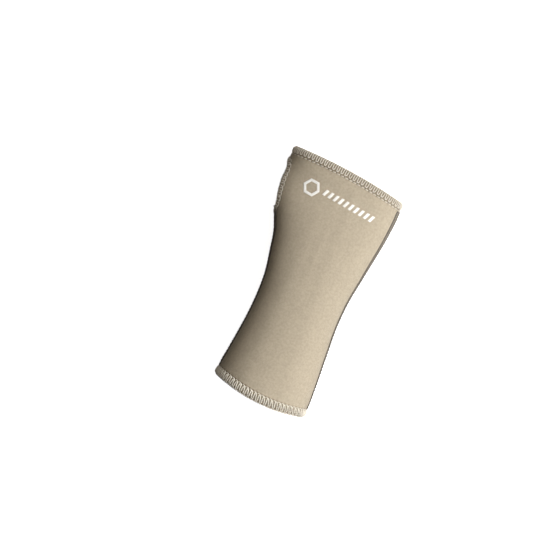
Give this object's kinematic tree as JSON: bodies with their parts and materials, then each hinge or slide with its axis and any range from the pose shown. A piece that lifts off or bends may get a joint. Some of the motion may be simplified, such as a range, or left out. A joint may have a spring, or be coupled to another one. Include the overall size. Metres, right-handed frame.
{
  "type": "wrist splint",
  "caption": "Pull-on laminated wrist and hand sleeve with overlocked edges, a thumb opening and a palm-side pocket that holds a removable flat aluminium stay.",
  "frame": {"origin": "middle of the box seen from above, on the surface that the splint lies on, palm side down", "axes": "+Y towards the fingers, +X towards the little finger, +Z out of the back of the hand"},
  "size_m": [0.0897, 0.1821, 0.0598],
  "materials": {
    "face_knit": "matte",
    "foam_core": "matte",
    "lining_knit": "matte",
    "overlock_thread": "matte",
    "seam_thread": "matte",
    "pocket_cloth": "matte",
    "binding_tape": "matte",
    "white_ink": "satin",
    "label_satin": "satin",
    "aluminium": "satin",
    "vinyl": "satin"
  },
  "bodies": {
    "sleeve": {"dorsal_face_knit": "face_knit", "palmar_face_knit": "face_knit", "dorsal_foam_core": "foam_core", "palmar_foam_core": "foam_core", "dorsal_lining_knit": "lining_knit", "palmar_lining_knit": "lining_knit", "hand_hem_loopers": "overlock_thread", "hand_hem_needle_thread": "overlock_thread", "cuff_hem_loopers": "overlock_thread", "cuff_hem_needle_thread": "overlock_thread", "thumb_hem_loopers": "overlock_thread", "thumb_hem_needle_thread": "overlock_thread", "ulnar_seam_flatlock": "seam_thread", "radial_seam_flatlock": "seam_thread", "stay_pocket_patch": "pocket_cloth", "pocket_edge_stitching": "seam_thread", "pocket_mouth_binding": "binding_tape", "pocket_bartacks": "seam_thread", "print_emblem": "white_ink", "print_dashes": "white_ink", "care_label": "label_satin"},
    "stay": {"stay_blade": "aluminium", "stay_cap_proximal": "vinyl", "stay_cap_distal": "vinyl"}
  },
  "joints": [
    {"name": "stay_slide", "type": "slide", "parent": "sleeve", "child": "stay", "axis": [0, -1, 0], "range_m": [0, 0.156]}
  ]
}
